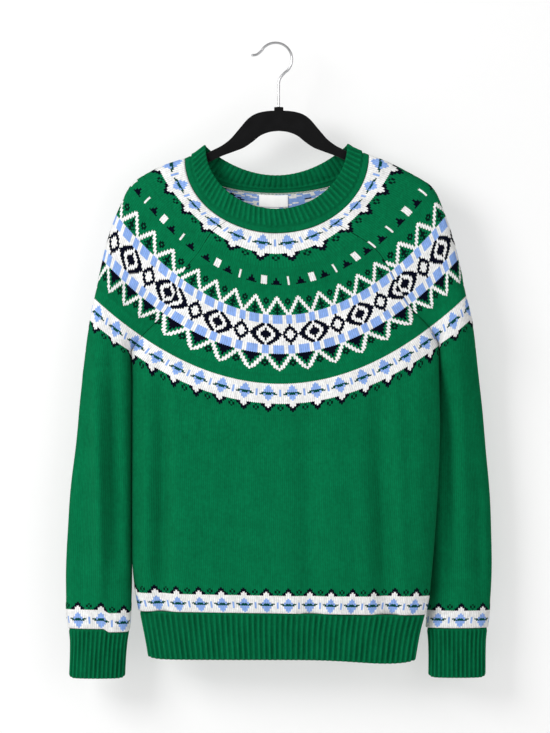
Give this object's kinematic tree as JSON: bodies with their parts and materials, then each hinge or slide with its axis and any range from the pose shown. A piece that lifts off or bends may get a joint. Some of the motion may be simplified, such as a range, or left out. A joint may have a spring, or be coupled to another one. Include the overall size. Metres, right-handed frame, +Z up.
{
  "type": "fair isle jumper on a hanger",
  "caption": "Round-yoke stranded knit jumper with ribbed neck, cuffs and hem, hanging flat on a flocked hanger with a wire hook.",
  "frame": {"origin": "inside top of the hanger's hook, where a rail or nail carries it", "axes": "+Z up, the jumper's front faces -Y, +X is to the right of someone who looks at the front"},
  "size_m": [0.5549, 0.0687, 0.8272],
  "materials": {
    "knit": "stocking stitch in green with stranded bands in white, light blue, dark teal and navy",
    "rib": "green two-by-two rib",
    "label": "woven white, bare",
    "flock": "black velvet flock",
    "hook_wire": "bright plated wire"
  },
  "bodies": {
    "root": {"front": "knit", "back": "knit", "sleeve_left": "knit", "sleeve_right": "knit", "hem_rib_front": "rib", "hem_rib_back": "rib", "cuff_left": "rib", "cuff_right": "rib", "neckband": "rib", "label": "label", "size_tab": "label", "hanger_body": "flock", "hanger_hook": "hook_wire"}
  },
  "joints": []
}
